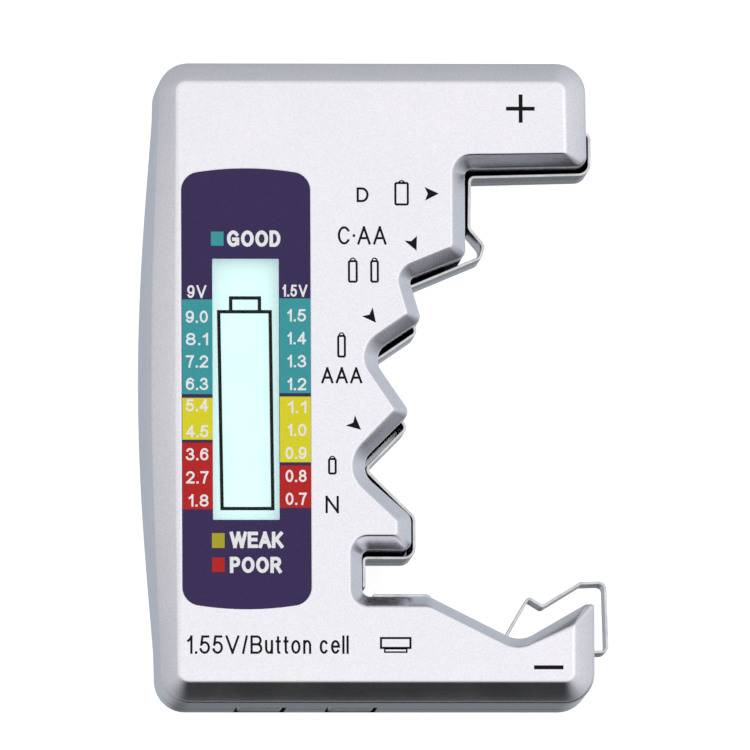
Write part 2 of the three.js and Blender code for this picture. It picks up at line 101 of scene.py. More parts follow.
# Strips: thickness and the two edges' heights, and centre lines as x, y and bend radius
STRIP = (0.45, 3.5, 15)
LEAF = (0.43, 6.1, 13)
SNAP = (0.4, 3, 11.4)
SLOT_GAP = 0.25
POSITIVE_LINE = np.array([
    (59.5, 85, 0), (64.15, 85, 0.8), (64.15, 78.95, 1.6), (46.4, 78.5, 0.7), (46.25, 70.9, 1.2),
    (48.45, 68.3, 1.2), (47.9, 66.5, 1), (36.3, 61.67, 0.8), (38.35, 55.35, 0.8), (30.96, 50.3, 0.8),
    (36.85, 41.2, 0.8), (30.75, 35.05, 0.9), (37.95, 27.9, 1.2), (37.95, 21.95, 1.5), (30.5, 21.95, 0.5),
    (30.5, 17.6, 0),
])
NEGATIVE_LINE = np.array([(31.9, 16.35, 0), (40.3, 16.35, 0.8), (41.2, 9.6, 1), (47.6, 6.4, 0)])
LEAF_LINE = np.array([
    (49.9, 7.5, 0), (54.95, 16.2, 0.45), (57.05, 14.9, 0.45), (62.7, 18.35, 0.6), (66.3, 18.45, 1),
    (66.6, 8.15, 0.9), (60.6, 8.15, 0),
])
LEAF_TRAVEL = 2.5
SNAP_CENTRES = {"left": 15.4, "right": 28.9}
SNAP_WIDTH = 7
FOOTING_BACK = 1.2

CASE_POSTS = ((6.4, 7), (6.4, 88), (54.2, 87.6), (57.4, 4.9))
BOARD_POSTS = ((5.6, 19.5), (22.6, 19.5), (5.6, 76.5), (22.6, 76.5))
POST_RADIUS = 2.3
BOARD_POST_RADIUS = 1.8
BOARD_TOP = 14

# The label in its recess, and the window in the label
LABEL_RECESS = 0.25
LABEL_SHEET = 0.2
LABEL = {"left": 3.3, "right": 22.4, "low": 14.75, "high": 78.1, "crown": 1, "radius": 2.2}
WINDOW_CUT = (7.1, 18.45, 26.25, 66.4)
WINDOW_VIEW = (7.86, 17.7, 26.98, 65.68)
GLASS_TOP = 19.9
REAR_LABEL = (8, 25.6, 26, 70)

# The thickness of printed ink, and the hair by which one stroke lies over another
INK = 0.02
OVERLAY = 0.003


# Shapes in the plane and solids from them

def to_row(points):
    """Design millimetres to metres in the row frame."""
    return (np.asarray(points, dtype=float) + ORIGIN) * MM


def unit(vectors):
    return vectors / np.linalg.norm(vectors, axis=-1, keepdims=True)


def round_corners(points, radii, steps, support=0.3):
    """Rounds the corners of closed lines, points (..., corners, 2), as (..., corners, points, 2).

    An arc turns about the point on its corner's bisector at radius / sin(half angle), from one tangent
    point to the other. A support point beside each of its ends, on the straight, keeps the shading of
    the bend off the flat.
    """
    before = np.roll(points, 1, axis=-2)
    after = np.roll(points, -1, axis=-2)
    back = unit(before - points)
    ahead = unit(after - points)
    half = np.arccos(np.clip((back * ahead).sum(-1), -1, 1)) / 2
    reach = radii / np.tan(half)
    centre = points + unit(back + ahead) * (radii / np.sin(half))[..., None]
    start = points + back * reach[..., None] - centre
    end = points + ahead * reach[..., None] - centre
    cross = start[..., 0] * end[..., 1] - start[..., 1] * end[..., 0]
    sweep = np.arctan2(cross, (start * end).sum(-1))
    angle = sweep[..., None] * np.linspace(0, 1, steps + 1)
    x = start[..., 0:1] * np.cos(angle) - start[..., 1:2] * np.sin(angle)
    y = start[..., 0:1] * np.sin(angle) + start[..., 1:2] * np.cos(angle)
    arc = np.stack([x, y], axis=-1) + centre[..., None, :]
    if not support:
        return arc
    room = np.linalg.norm(points - before, axis=-1) - reach - np.roll(reach, 1, axis=-1)
    lead_in = reach + np.minimum(support, 0.3 * room)
    lead_out = reach + np.minimum(support, 0.3 * np.roll(room, -1, axis=-1))
    first = points + back * lead_in[..., None]
    last = points + ahead * lead_out[..., None]
    return np.concatenate([first[..., None, :], arc, last[..., None, :]], axis=-2)


def rounded_loop(points, radii, steps, support=0.0):
    points = np.array(points, dtype=float)
    radii = np.broadcast_to(np.array(radii, dtype=float), points.shape[:1])
    return round_corners(points, radii, steps, support).reshape(-1, 2)


def rounded_line(line, steps, support=0.3):
    """An open line of x, y and bend radius, with its bends rounded and its two ends kept."""
    bends = round_corners(line[:, :2], line[:, 2], steps, support)[1:-1].reshape(-1, 2)
    return np.concatenate([line[:1, :2], bends, line[-1:, :2]])


def rectangle(x0, x1, y0, y1, radius=0.0, steps=6):
    corners = [(x0, y0), (x1, y0), (x1, y1), (x0, y1)]
    return rounded_loop(corners, radius, steps) if radius else np.array(corners, dtype=float)


def circle(x, y, radius, sides=40):
    angle = np.linspace(0, 2 * np.pi, sides, endpoint=False)
    return np.stack([x + radius * np.cos(angle), y + radius * np.sin(angle)], axis=-1)


def grow(x0, x1, y0, y1, margin):
    return x0 - margin, x1 + margin, y0 - margin, y1 + margin


def tube_faces(rings, columns, closed=False):
    """Quads between neighbouring rings of equal length; closed joins the last ring to the first."""
    ring = np.arange(rings if closed else rings - 1)[:, None]
    column = np.arange(columns)[None, :]
    beside = (column + 1) % columns
    above = (ring + 1) % rings
    quads = np.stack([ring * columns + column, ring * columns + beside, above * columns + beside,
                      above * columns + column], axis=-1)
    return quads.reshape(-1, 4).tolist()


def loft(rings):
    """A closed solid through rings (rings, points, 3) of equal length, capped at both ends."""
    count, columns = rings.shape[:2]
    top = (count - 1) * columns
    caps = [list(range(columns))[::-1], list(range(top, top + columns))]
    return rings.reshape(-1, 3), tube_faces(count, columns) + caps


def prism(loop, low, high):
    """A closed solid over a loop of (x, y), between two heights."""
    ends = [np.column_stack([loop, np.full(len(loop), level)]) for level in (low, high)]
    return loft(np.stack(ends))


def turned(x, y, profile, sides=40):
    """A solid of revolution about a line along z: a ring of the profile's radius at each of its heights."""
    rings = [np.column_stack([circle(x, y, radius, sides), np.full(sides, z)]) for radius, z in profile]
    return loft(np.stack(rings))


def block(x0, x1, y0, y1, z0, z1):
    return prism(rectangle(x0, x1, y0, y1), z0, z1)


def together(solids):
    """Several solids as one list of points and one list of faces."""
    points = np.concatenate([solid[0] for solid in solids])
    starts = np.cumsum([0] + [len(solid[0]) for solid in solids])
    faces = [[start + corner for corner in face] for solid, start in zip(solids, starts)
             for face in solid[1]]
    return points, faces


def side_normals(line):
    """The mitred normal to the left of an open line at each of its points."""
    into = unit(np.diff(line, axis=0))
    before = np.concatenate([into[:1], into])
    after = np.concatenate([into, into[-1:]])
    along = unit(before + after)
    stretch = 1 / (after * along).sum(-1, keepdims=True)
    return np.stack([-along[:, 1], along[:, 0]], axis=-1) * stretch


def ribbon(line, section, steps=10, edge=0.1):
    """A bent strip on edge: its section, a rectangle with rounded corners, carried along its line.

    A point of the section stands its own distance off the line along the mitred normal, at its own
    height.
    """
    thick, low, high = section
    path = rounded_line(line, steps)
    profile = rectangle(-thick / 2, thick / 2, low, high, edge, 3)
    normal = side_normals(path)
    flat = path[:, None, :] + normal[:, None, :] * profile[None, :, 0:1]
    tall = np.broadcast_to(profile[None, :, 1:2], flat.shape[:2] + (1,))
    return loft(np.concatenate([flat, tall], axis=-1))


def slot_round(line, section):
    """The slot that a strip stands in: a plain ribbon with the gap all round it."""
    thick, low, high = section
    path = rounded_line(line, 4, 0)
    half = side_normals(path) * (thick / 2 + SLOT_GAP)
    return prism(np.concatenate([path + half, (path - half)[::-1]])[::-1], low - SLOT_GAP, high + SLOT_GAP)


def band_along(loop, width, low, high):
    """A raised line of even width round a closed loop: four rings, mitred at the corners."""
    before = unit(loop - np.roll(loop, 1, axis=0))
    after = unit(np.roll(loop, -1, axis=0) - loop)
    along = unit(before + after)
    normal = np.stack([-along[:, 1], along[:, 0]], axis=-1) / (after * along).sum(-1, keepdims=True)
    inner = loop + normal * width / 2
    outer = loop - normal * width / 2
    rings = [(outer, low), (outer, high), (inner, high), (inner, low)]
    points = np.stack([np.column_stack([ring, np.full(len(loop), z)]) for ring, z in rings])
    return points.reshape(-1, 3), tube_faces(4, len(loop), closed=True)


# Pieces

def piece(name, solid, material, body="case", stands_for=(), angle=28):
    """A finished piece from a solid in design millimetres, riding on a body of the frame."""
    mesh = bpy.data.meshes.new(name)
    mesh.from_pydata(to_row(solid[0]).tolist(), [], solid[1])
    made = bpy.data.objects.new(name, mesh)
    bpy.context.scene.collection.objects.link(made)
    mesh.materials.append(material)
    shade(made, angle)
    enrol(made, body, stands_for)
    return made


def enrol(made, body, stands_for):
    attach(made, body)
    if stands_for:
        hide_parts(*stands_for)


def shade(made, angle):
    """Smooth shading, broken at edges sharper than the angle and round every large level face."""
    level = 0.9999
    mesh = bmesh.new()
    mesh.from_mesh(made.data)
    bmesh.ops.remove_doubles(mesh, verts=mesh.verts, dist=1e-7)
    for face in mesh.faces:
        face.smooth = True
    for edge in mesh.edges:
        if len(edge.link_faces) != 2:
            continue
        one, other = (abs(face.normal.z) > level for face in edge.link_faces)
        edge.smooth = edge.calc_face_angle(0) < np.radians(angle) and one == other
    mesh.to_mesh(made.data)
    mesh.free()


def carve(made, steps):
    """Joins solids to a piece and cuts others from it, in order, and keeps the result as its mesh."""
    helpers = []
    for operation, solids in steps:
        group = bpy.data.collections.new(made.name + "_tools")
        bpy.context.scene.collection.children.link(group)
        for points, faces in solids:
            mesh = bpy.data.meshes.new(group.name)
            mesh.from_pydata(to_row(points).tolist(), [], faces)
            tool = bpy.data.objects.new(group.name, mesh)
            group.objects.link(tool)
            helpers.append(tool)
        cutter = made.modifiers.new(operation, "BOOLEAN")
        cutter.operation = operation
        cutter.operand_type = "COLLECTION"
        cutter.collection = group
        cutter.solver = "EXACT"
    bpy.context.view_layer.update()
    finished = made.evaluated_get(bpy.context.evaluated_depsgraph_get())
    mesh = bpy.data.meshes.new_from_object(finished)
    made.modifiers.clear()
    made.data = mesh
    groups = [tool.users_collection[0] for tool in helpers]
    for tool in helpers:
        bpy.data.objects.remove(tool)
    for group in set(groups):
        bpy.data.collections.remove(group)


# Materials

def colour(code):
    """An sRGB hex code as the linear colour that a shader works in."""
    parts = np.array([int(code[i:i + 2], 16) for i in (1, 3, 5)]) / 255
    linear = np.where(parts <= 0.04045, parts / 12.92, ((parts + 0.055) / 1.055) ** 2.4)
    return (*linear.tolist(), 1.0)


def add_node(tree, kind, inputs=None, **settings):
    """Adds a node with its settings; each input takes a value or the socket that feeds it."""
    made = tree.nodes.new(kind)
    for key, value in settings.items():
        setattr(made, key, value)
    for key, value in (inputs or {}).items():
        if isinstance(value, bpy.types.NodeSocket):
            tree.links.new(value, made.inputs[key])
        else:
            made.inputs[key].default_value = value
    return made


def blend_colours(tree, factor, low, high, mode="MIX"):
    mix = add_node(tree, "ShaderNodeMix", {0: factor, 6: low, 7: high}, data_type="RGBA", blend_type=mode)
    return mix.outputs[2]


def scaled(tree, value, low, high, source=(0.0, 1.0)):
    sockets = {"Value": value, "From Min": source[0], "From Max": source[1], "To Min": low, "To Max": high}
    return add_node(tree, "ShaderNodeMapRange", sockets).outputs["Result"]


def surface(name, light, dark, grain, roughness, relief, spread=0.06, stretch=(1, 1, 1), **sockets):
    """A material with a grain of a size in mm: it shifts the colour, the gloss and the height a little.

    relief is the height of the grain in mm. Other keywords are the shader's own sockets.
    """
    material = bpy.data.materials.new(name)
    material.use_nodes = True
    tree = material.node_tree
    shader = tree.nodes["Principled BSDF"]
    place = add_node(tree, "ShaderNodeTexCoord").outputs["Object"]
    turned_place = add_node(tree, "ShaderNodeMapping", {"Vector": place, "Scale": stretch}).outputs["Vector"]
    noise = add_node(tree, "ShaderNodeTexNoise", {"Vector": turned_place, "Scale": 1 / (grain * MM),
                                                  "Detail": 3.0, "Roughness": 0.6}).outputs["Fac"]
    tint = scaled(tree, noise, 0.0, 1.0, (0.3, 0.7))
    tree.links.new(blend_colours(tree, tint, colour(dark), colour(light)), shader.inputs["Base Color"])
    gloss = scaled(tree, noise, roughness - spread, roughness + spread, (0.3, 0.7))
    tree.links.new(gloss, shader.inputs["Roughness"])
    bump = add_node(tree, "ShaderNodeBump", {"Height": noise, "Distance": relief * MM, "Strength": 1.0})
    tree.links.new(bump.outputs["Normal"], shader.inputs["Normal"])
    for key, value in sockets.items():
        shader.inputs[key.replace("_", " ")].default_value = value
    return material


# ABS sprayed with fine metallic silver paint: a satin metal with flakes that glint one by one, in a coat
# with a faint orange peel. The flakes are coarser here than real ones, so that they show.
FLAKE = 0.16
ORANGE_PEEL = 0.35
PEEL_HEIGHT = 0.0006


def sprayed_silver():
    material = surface("sprayed_silver_paint", "#F2F0F5", "#EEEDF3", grain=9.0, roughness=0.22, relief=0.0,
                       spread=0.02, Metallic=1.0)
    tree = material.node_tree
    shader = tree.nodes["Principled BSDF"]
    place = add_node(tree, "ShaderNodeTexCoord").outputs["Object"]
    flakes = add_node(tree, "ShaderNodeTexVoronoi", {"Vector": place, "Scale": 1 / (FLAKE * MM)})
    glint = add_node(tree, "ShaderNodeSeparateColor", {"Color": flakes.outputs["Color"]}).outputs["Red"]
    shade_of_flake = blend_colours(tree, glint, colour("#F4F4F5"), colour("#FFFFFF"))
    base = shader.inputs["Base Color"].links[0].from_socket
    tree.links.new(blend_colours(tree, 1.0, base, shade_of_flake, "MULTIPLY"), shader.inputs["Base Color"])
    peel = add_node(tree, "ShaderNodeTexNoise", {"Vector": place, "Scale": 1 / (ORANGE_PEEL * MM),
                                                 "Detail": 2.0}).outputs["Fac"]
    bump = add_node(tree, "ShaderNodeBump", {"Height": peel, "Distance": PEEL_HEIGHT * MM, "Strength": 1.0})
    tree.links.new(bump.outputs["Normal"], shader.inputs["Normal"])
    return material


def clear_pane(name, tint):
    """A clear pane: light passes straight through, and its outer side mirrors by Fresnel."""
    material = bpy.data.materials.new(name)
    material.use_nodes = True
    tree = material.node_tree
    gloss = tree.nodes["Principled BSDF"]
    gloss.inputs["Base Color"].default_value = (1.0, 1.0, 1.0, 1.0)
    gloss.inputs["Metallic"].default_value = 1.0
    place = add_node(tree, "ShaderNodeTexCoord").outputs["Object"]
    haze_size = 6 * MM
    haze = add_node(tree, "ShaderNodeTexNoise", {"Vector": place, "Scale": 1 / haze_size, "Detail": 4.0})
    tree.links.new(scaled(tree, haze.outputs["Fac"], 0.04, 0.09), gloss.inputs["Roughness"])
    through = add_node(tree, "ShaderNodeBsdfTransparent", {"Color": colour(tint)})
    fresnel = add_node(tree, "ShaderNodeFresnel", {"IOR": 1.25}).outputs[0]
    far_side = add_node(tree, "ShaderNodeNewGeometry").outputs["Backfacing"]
    near_side = add_node(tree, "ShaderNodeMath", {0: 1.0, 1: far_side}, operation="SUBTRACT").outputs[0]
    mirror = add_node(tree, "ShaderNodeMath", {0: fresnel, 1: near_side}, operation="MULTIPLY").outputs[0]
    mix = add_node(tree, "ShaderNodeMixShader", {0: mirror, 1: through.outputs[0], 2: gloss.outputs[0]})
    tree.links.new(mix.outputs[0], tree.nodes["Material Output"].inputs["Surface"])
    return material


silver = sprayed_silver()
# Nickel-plated spring steel, rolled: bright, with faint rolling lines along the strip
nickel = surface("nickel_plated_spring_steel", "#E0E0E1", "#BDBDC1", 0.5, 0.24, 0.002,
                 stretch=(0.25, 0.25, 3), Metallic=1.0)
# Zinc-plated steel screws, tumbled: a duller grey metal
zinc = surface("zinc_plated_steel", "#C2C3C6", "#9FA1A5", 0.4, 0.38, 0.003, Metallic=1.0)
# Printed polyester label under a satin laminate: flat ink colour with a very fine print grain
LAMINATE = dict(grain=0.3, roughness=0.38, relief=0.001, spread=0.03, Specular_IOR_Level=0.12)
purple_ink = surface("purple_printed_polyester", "#413262", "#3A2C57", **LAMINATE)
teal_ink = surface("teal_printed_polyester", "#43A8AD", "#3B9EA6", **LAMINATE)
yellow_ink = surface("yellow_printed_polyester", "#EFE62F", "#E6DC27", **LAMINATE)
olive_ink = surface("olive_printed_polyester", "#BCB132", "#B3A82B", **LAMINATE)
red_ink = surface("red_printed_polyester", "#CA2828", "#BE2323", **LAMINATE)
white_ink = surface("white_screen_ink", "#FFFFFF", "#F2F2F5", **LAMINATE)
# Black screen-printing ink on the paint: matt, a little broken at its edges
black_ink = surface("black_screen_ink", "#0E0E10", "#08080A", 0.25, 0.6, 0.002, Specular_IOR_Level=0.15)
# The display: front polariser over a pale reflector, and the dark segments. The polariser's emission is a
# painted glow that brightens it; the display has no lamp of its own.
glowing_polariser = surface("display_polariser_film", "#E4FFFF", "#DCFDFC", 5.0, 0.3, 0.0005, spread=0.03,
                    Emission_Color=colour("#E6FFFB"), Emission_Strength=0.34)
segment = surface("display_segment", "#060708", "#030304", 0.5, 0.5, 0.0005, Specular_IOR_Level=0.1)
acrylic = clear_pane("clear_acrylic", "#FCFEFE")
# Charcoal painted shade on the walls close behind the strips and in their slots, standing for the shade in
# those gaps; the same charcoal darkens the parting groove as a dark joint
strip_shade_and_groove_charcoal = surface("bare_charcoal_ABS", "#1C1D20", "#141518", 0.8, 0.55, 0.003, Specular_IOR_Level=0.1)
# Inside: the display's frame, rubber connector, board and its parts
display_glass = surface("display_glass", "#CFEDEA", "#C3E2DF", 4.0, 0.12, 0.0003)
reflector_film = surface("reflector_film", "#DDEEEC", "#CFE2DF", 0.6, 0.45, 0.001)
frame_plastic = surface("moulded_white_ABS", "#E6E6E1", "#DCDCD6", 0.8, 0.45, 0.004)
zebra_rubber = surface("silicone_and_carbon_strip", "#E0B0B0", "#4A3A3C", 0.35, 0.7, 0.004,
                       stretch=(1, 0.1, 0.1))
solder_mask = surface("green_solder_mask_laminate", "#1F6A3C", "#17552F", 1.4, 0.35, 0.004)
black_epoxy = surface("cast_black_epoxy", "#1D1E22", "#131417", 0.9, 0.42, 0.006)
tan_lacquer = surface("lacquered_resistor_ceramic", "#D2BC8E", "#BFA878", 0.7, 0.4, 0.004)
blue_lacquer = surface("blue_lacquered_ceramic", "#3467B4", "#27529A", 0.7, 0.35, 0.003)
sleeve = surface("blue_shrink_sleeve", "#28356E", "#1E2957", 0.8, 0.3, 0.003)
blue_thermoset = surface("moulded_blue_thermoset", "#3261AC", "#264F92", 0.6, 0.5, 0.005)
red_pvc = surface("red_PVC_insulation", "#C02626", "#A61E1E", 0.8, 0.45, 0.004)
black_pvc = surface("black_PVC_insulation", "#232325", "#17171A", 0.8, 0.45, 0.004)
blank_sticker = surface("plain_satin_sticker", "#DDDDE0", "#D2D2D6", 0.5, 0.5, 0.003)

for node, finish in {
    "display_window": acrylic, "lcd_front_glass": glowing_polariser, "lcd_rear_glass": display_glass,
    "lcd_reflector": reflector_film, "lcd_frame": frame_plastic, "zebra_connector": zebra_rubber,
    "circuit_board": solder_mask, "chip_blob": black_epoxy, "load_resistor_1v5": tan_lacquer,
    "load_resistor_9v": tan_lacquer, "divider_resistor": blue_lacquer, "reverse_diode": black_epoxy,
    "capacitor": sleeve, "trimmer": blue_thermoset, "lead_positive": red_pvc, "lead_9v_left": red_pvc,
    "lead_negative": black_pvc, "lead_9v_right": black_pvc, "rear_label": blank_sticker,
    **{f"{kind}_screw_{i}": zinc for kind in ("case", "board") for i in range(1, 5)},
}.items():
    for material_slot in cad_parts[node].material_slots:
        material_slot.material = finish


# Casing

def case_rings(share, height, bulge):
    """Level rings of the case, one for each share of the way from the side wall to the face.

    Every corner and its radius go straight from the wall's to the face's. The left side swells by the
    bulge at mid height, as (1 - t * t) ** 1.5 with t from -1 at the bottom edge to 1 at the top, and the
    swelling fades out round the corners.
    """
    wall, face = CORNERS[:, :3], CORNERS[:, 3:]
    corners = wall + share[:, None, None] * (face - wall)
    radii = np.maximum(corners[..., 2], 0.03)
    bends = round_corners(corners[..., :2], radii, 10).reshape(len(share), -1, 2)
    down = np.linspace(0, 1, 41)[1:-1, None]
    left = bends[:, -1:, :] + down * (bends[:, :1, :] - bends[:, -1:, :])
    loop = np.concatenate([bends, left], axis=1)
    t = np.clip(2 * loop[..., 1] / HEIGHT - 1, -1, 1)
    near = np.clip(1 - loop[0, :, 0] / CORNERS[0, 2], 0, 1)
    loop[..., 0] -= bulge[:, None] * near * (1 - t * t) ** 1.5
    level = np.broadcast_to(height[:, None, None], loop.shape[:2] + (1,))
    return np.concatenate([loop, level], axis=-1)


def bend(start, middle, end, steps=6):
    """A quadratic curve through two points, turned by the one between them."""
    t = np.linspace(0, 1, steps + 1)[:, None]
    start, middle, end = (np.array(point) for point in (start, middle, end))
    return (1 - t) ** 2 * start + 2 * t * (1 - t) * middle + t ** 2 * end


def cavity(low, high):
    """The hollow inside the walls, whose corners stand under the face's own but for a few."""
    corners = CORNERS[:, 3:5].copy()
    for i, place in CAVITY_CORNERS.items():
        corners[i] = place
    radii = np.full(len(corners), 0.4)
    radii[2:4] = 0.05
    return prism(rounded_loop(corners, radii, 4), low, high)


def snap_line(centre):
    """A snap contact's centre line: a U whose web is level with the bottom wall."""
    half = (SNAP_WIDTH - SNAP[0]) / 2
    return np.array([(centre - half, 5.5, 0), (centre - half, 0.25, 0.5), (centre + half, 0.25, 0.5),
                     (centre + half, 5.5, 0)])


def strip_slots():
    """Everything that lets the strips, the sprung leaf and the snap contacts out through the walls."""
    low, high = LEAF[1] - SLOT_GAP, LEAF[2] + SLOT_GAP
    loop_end = LEAF_LINE[-1, 1]
    slots = [
        slot_round(POSITIVE_LINE, STRIP),
        slot_round(NEGATIVE_LINE, STRIP),
        block(49.3, 53.4, 5, 12.6, low, high),
        block(60, 66, loop_end - LEAF_TRAVEL - 0.6, loop_end + 0.6, low, high),
    ]
    for centre in SNAP_CENTRES.values():
        half = SNAP_WIDTH / 2 + SLOT_GAP
        slots.append(block(centre - half, centre + half, -1, 0.75, SNAP[1] - SLOT_GAP, SNAP[2] + SLOT_GAP))
        slots.append(slot_round(snap_line(centre), SNAP))
    return slots


def label_outline(margin):
    """A rectangle with rounded corners whose two ends are crowned by crown * (1 - t * t)."""
    x0, x1, y0, y1 = grow(LABEL["left"], LABEL["right"], LABEL["low"], LABEL["high"], margin)
    radius = LABEL["radius"]
    corners = round_corners(np.array([(x0, y0), (x1, y0), (x1, y1), (x0, y1)], dtype=float),
                            np.full(4, radius), 8, support=0)
    across = np.linspace(x0 + radius, x1 - radius, 14)[1:-1]
    low_end = np.column_stack([across, np.full(12, y0)])
    high_end = np.column_stack([across[::-1], np.full(12, y1)])
    loop = np.concatenate([corners[0], low_end, corners[1], corners[2], high_end, corners[3]])
    t = (loop[:, 0] - (x0 + x1) / 2) / ((x1 - x0) / 2)
    from_middle = loop[:, 1] - (y0 + y1) / 2
    at_end = np.abs(from_middle) > (y1 - y0) / 2 - radius - 1e-6
    loop[:, 1] += at_end * np.sign(from_middle) * LABEL["crown"] * (1 - t * t)
    return loop


def footings():
    """What the strips stand on: from inside the wall to their centre lines, less the long one's loop."""
    sharp = 0.05
    wall, face = CORNERS[STEPPED_SIDE, :2], CORNERS[STEPPED_SIDE, 3:5]
    inside = np.column_stack([wall + 0.9 * (face - wall), np.full(len(wall), sharp)])
    beside_loop = [(46.3, 71, 0.5), (45, 69.8, 0.5), (44.9, 66.9, 1), (43.3, 64.58, 0.5)]
    long = np.concatenate([
        [(62.5, 85, sharp)], POSITIVE_LINE[1:4], beside_loop, POSITIVE_LINE[7:-1],
        [(30.5, 17.6, sharp), (29.4, 17.6, sharp)], inside, [(62, 82, sharp)],
    ])[::-1]
    short = np.array([(31.9, 14.8, sharp), (40.6, 14.8, sharp), (40.3, 16.35, 0.8), (31.9, 16.35, sharp)])
    return [prism(rounded_loop(plan[:, :2], plan[:, 2], 6), FOOTING_BACK, STRIP[1] - SLOT_GAP)
            for plan in (long, short)]


def to_nearest(points, line):
    """From each point to the nearest place on an open line, as vectors in the plane."""
    start = line[:-1]
    step = np.diff(line, axis=0)
    share = ((points[:, None] - start) * step).sum(-1) / (step * step).sum(-1)
    away = start + np.clip(share, 0, 1)[..., None] * step - points[:, None]
    nearest = np.linalg.norm(away, axis=-1).argmin(axis=1)
    return away[np.arange(len(points)), nearest]


def paint_strip_shade_and_groove(made):
    """Painted shade in charcoal on the faces close behind a strip, up to its front edge; the same charcoal in
    the parting groove, a dark joint.
    """
    near = 1.4
    margin = SLOT_GAP + 0.05
    made.data.materials.append(strip_shade_and_groove_charcoal)
    faces = made.data.polygons
    centres = np.array([face.center for face in faces]) / MM - ORIGIN
    normals = np.array([face.normal for face in faces])
    lines = [(POSITIVE_LINE, STRIP), (NEGATIVE_LINE, STRIP)]
    lines += [(snap_line(centre), SNAP) for centre in SNAP_CENTRES.values()]
    # Painted shade: the faces close behind each strip take the charcoal
    for line, section in lines:
        away = to_nearest(centres[:, :2], line[:, :2])
        close = np.linalg.norm(away, axis=1) < near
        towards = ((away * normals[:, :2]).sum(axis=1) > 0.02) | (np.abs(normals[:, 2]) > 0.5)
        within = (centres[:, 2] > section[1] - margin) & (centres[:, 2] < section[2] + margin)
        for i in np.flatnonzero(close & towards & within):
            faces[i].material_index = 1
    for i in np.flatnonzero(np.abs(centres[:, 2] - PARTING) < 0.75 * PARTING_GROOVE):
        faces[i].material_index = 1


def front_moulding():
    """The front shell: walls, a rounded shoulder, the bevel and a soft edge round the flat face."""
    shoulder = THICKNESS - BEVEL_DROP

    def on_bevel(share, crown=0.0):
        return share, shoulder + BEVEL_DROP * share + crown * np.sin(np.pi * share)

    profile = np.concatenate([
        [(GROOVE_SHARE, PARTING), (0, PARTING + PARTING_GROOVE)],
        [(0, z) for z in (10, 12, 13.6, STRIP[2] + SLOT_GAP, 17.4)],
        bend((0, shoulder - 0.5), (0, shoulder), on_bevel(0.14)),
        [on_bevel(share, crown=0.05) for share in (0.3, 0.46, 0.62, 0.77)],
        bend(on_bevel(0.88), (1, THICKNESS), (1.12, THICKNESS)),
    ])
    share, z = profile.T
    wall_bulge = 1 - 0.46 * (np.clip(z - PARTING, 0, shoulder - PARTING) / (shoulder - PARTING)) ** 2.2
    bulge = GRIP_BULGE * wall_bulge * np.clip(1 - share, 0, 1)
    made = piece("front_moulding", loft(case_rings(share, z, bulge)), silver,
                 stands_for=["front_shell"])
    ceiling = THICKNESS - WALL + 0.5
    posts = [prism(circle(x, y, POST_RADIUS), PARTING, ceiling) for x, y in CASE_POSTS]
    posts += [prism(circle(x, y, BOARD_POST_RADIUS), BOARD_TOP, ceiling) for x, y in BOARD_POSTS]
    ribs = [block(*plan, 15, THICKNESS - 1.8) for plan in (
        (1.5, 6.4, 6.6, 7.4), (1.5, 6.4, 87.6, 88.4), (53.8, 54.6, 87.6, 93.5), (57, 57.8, 1.5, 4.9))]
    holes = [prism(circle(x, y, 0.9, 20), PARTING - 1, 17) for x, y in CASE_POSTS]
    holes += [prism(circle(x, y, 0.75, 20), BOARD_TOP - 1, 18) for x, y in BOARD_POSTS]
    openings = [
        prism(label_outline(0.1), THICKNESS - LABEL_RECESS, THICKNESS + 1),
        prism(rectangle(*WINDOW_CUT, 0.5), 15, THICKNESS + 1),
    ]
    carve(made, [
        ("DIFFERENCE", [cavity(PARTING - 1, THICKNESS - WALL)]),
        ("UNION", posts + ribs),
        ("DIFFERENCE", holes + openings + strip_slots()),
    ])
    shade(made, 24)
    paint_strip_shade_and_groove(made)


def rear_moulding():
    """The rear shell: a shallow bevel round the back, walls up to the parting line, counterbored bosses."""
    profile = np.concatenate([
        bend((REAR_BEVEL_SHARE + 0.25, 0), (REAR_BEVEL_SHARE, 0), (REAR_BEVEL_SHARE * 0.8, REAR_BEVEL * 0.2)),
        bend((REAR_BEVEL_SHARE * 0.2, REAR_BEVEL * 0.8), (0, REAR_BEVEL), (0, REAR_BEVEL + 0.6)),
        [(0, z) for z in (STRIP[1] - SLOT_GAP, 6, PARTING - PARTING_GROOVE)],
        [(GROOVE_SHARE, PARTING)],
    ])
    share, z = profile.T
    wall_bulge = 1 - 0.3 * (np.clip(PARTING - z, 0, PARTING - REAR_BEVEL) / (PARTING - REAR_BEVEL)) ** 2
    bulge = GRIP_BULGE * wall_bulge * np.clip(1 - 0.8 * share, 0, 1)
    made = piece("rear_moulding", loft(case_rings(share, z, bulge)), silver,
                 stands_for=["rear_shell"])
    bosses = [prism(circle(x, y, POST_RADIUS + 0.3), WALL - 0.5, PARTING) for x, y in CASE_POSTS]
    holes = [prism(circle(x, y, 1.15, 24), -1, PARTING + 1) for x, y in CASE_POSTS]
    holes += [turned(x, y, [(2.45, -0.1), (2.1, 0.25), (2.1, 1.8)]) for x, y in CASE_POSTS]
    recess = prism(rectangle(*grow(*REAR_LABEL, 0.2), 1), -1, LABEL_RECESS)
    carve(made, [
        ("DIFFERENCE", [cavity(WALL, PARTING + 1)]),
        ("UNION", bosses + footings()),
        ("DIFFERENCE", holes + [recess] + strip_slots()),
    ])
    shade(made, 24)
    paint_strip_shade_and_groove(made)


front_moulding()
rear_moulding()

# Contacts

